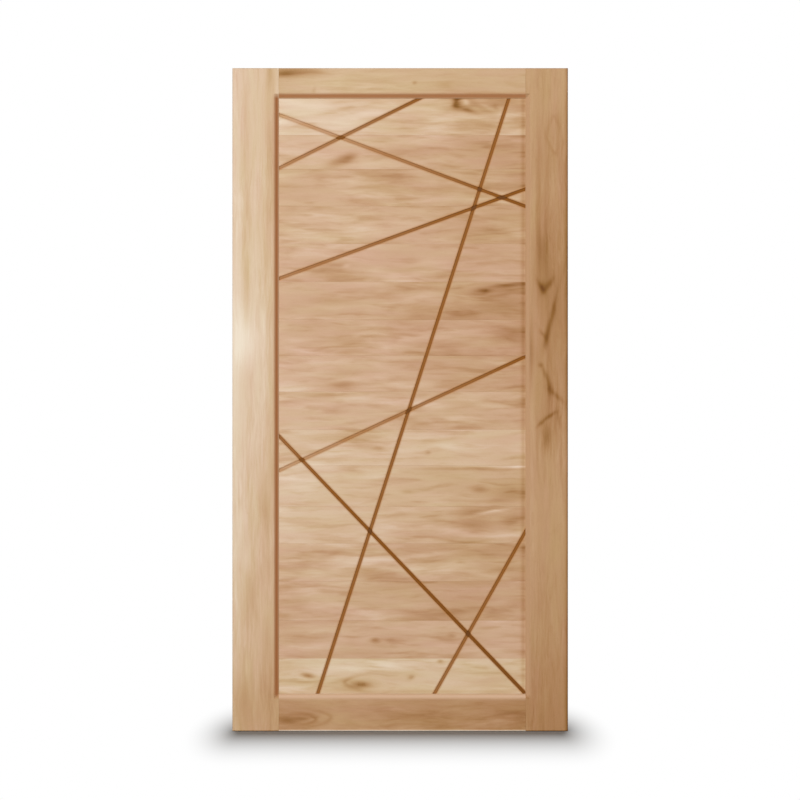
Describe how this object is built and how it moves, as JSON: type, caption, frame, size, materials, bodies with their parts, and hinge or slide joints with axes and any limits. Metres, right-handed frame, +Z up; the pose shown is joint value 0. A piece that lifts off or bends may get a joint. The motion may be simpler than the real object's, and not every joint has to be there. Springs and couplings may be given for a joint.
{
  "type": "wooden door leaf",
  "caption": "Solid timber door leaf: stiles and rails with a mitred bevel around a sunk panel of horizontal boards carved with crossing straight lines; hung by one edge.",
  "frame": {"origin": "foot of the left (hinge) edge as seen from the front, at mid thickness", "axes": "+X across the leaf from the left (hinge) edge to the right edge, +Z up, front faces -Y"},
  "size_m": [1.063, 0.045, 2.1],
  "materials": {
    "pale_stile_wood": "sanded bare timber, matte",
    "brown_stile_wood": "sanded bare timber, matte",
    "straw_rail_wood": "sanded bare timber, matte",
    "brown_rail_wood": "sanded bare timber, matte",
    "panel_wood": "sanded bare timber, matte"
  },
  "bodies": {
    "root": {"left_stile": "pale_stile_wood", "right_stile": "brown_stile_wood", "top_rail": "straw_rail_wood", "bottom_rail": "brown_rail_wood", "panel_board_01": "panel_wood", "panel_board_02": "panel_wood", "panel_board_03": "panel_wood", "panel_board_04": "panel_wood", "panel_board_05": "panel_wood", "panel_board_06": "panel_wood", "panel_board_07": "panel_wood", "panel_board_08": "panel_wood", "panel_board_09": "panel_wood", "panel_board_10": "panel_wood", "panel_board_11": "panel_wood", "panel_board_12": "panel_wood", "panel_board_13": "panel_wood", "panel_board_14": "panel_wood", "panel_board_15": "panel_wood", "panel_board_16": "panel_wood"}
  },
  "joints": []
}
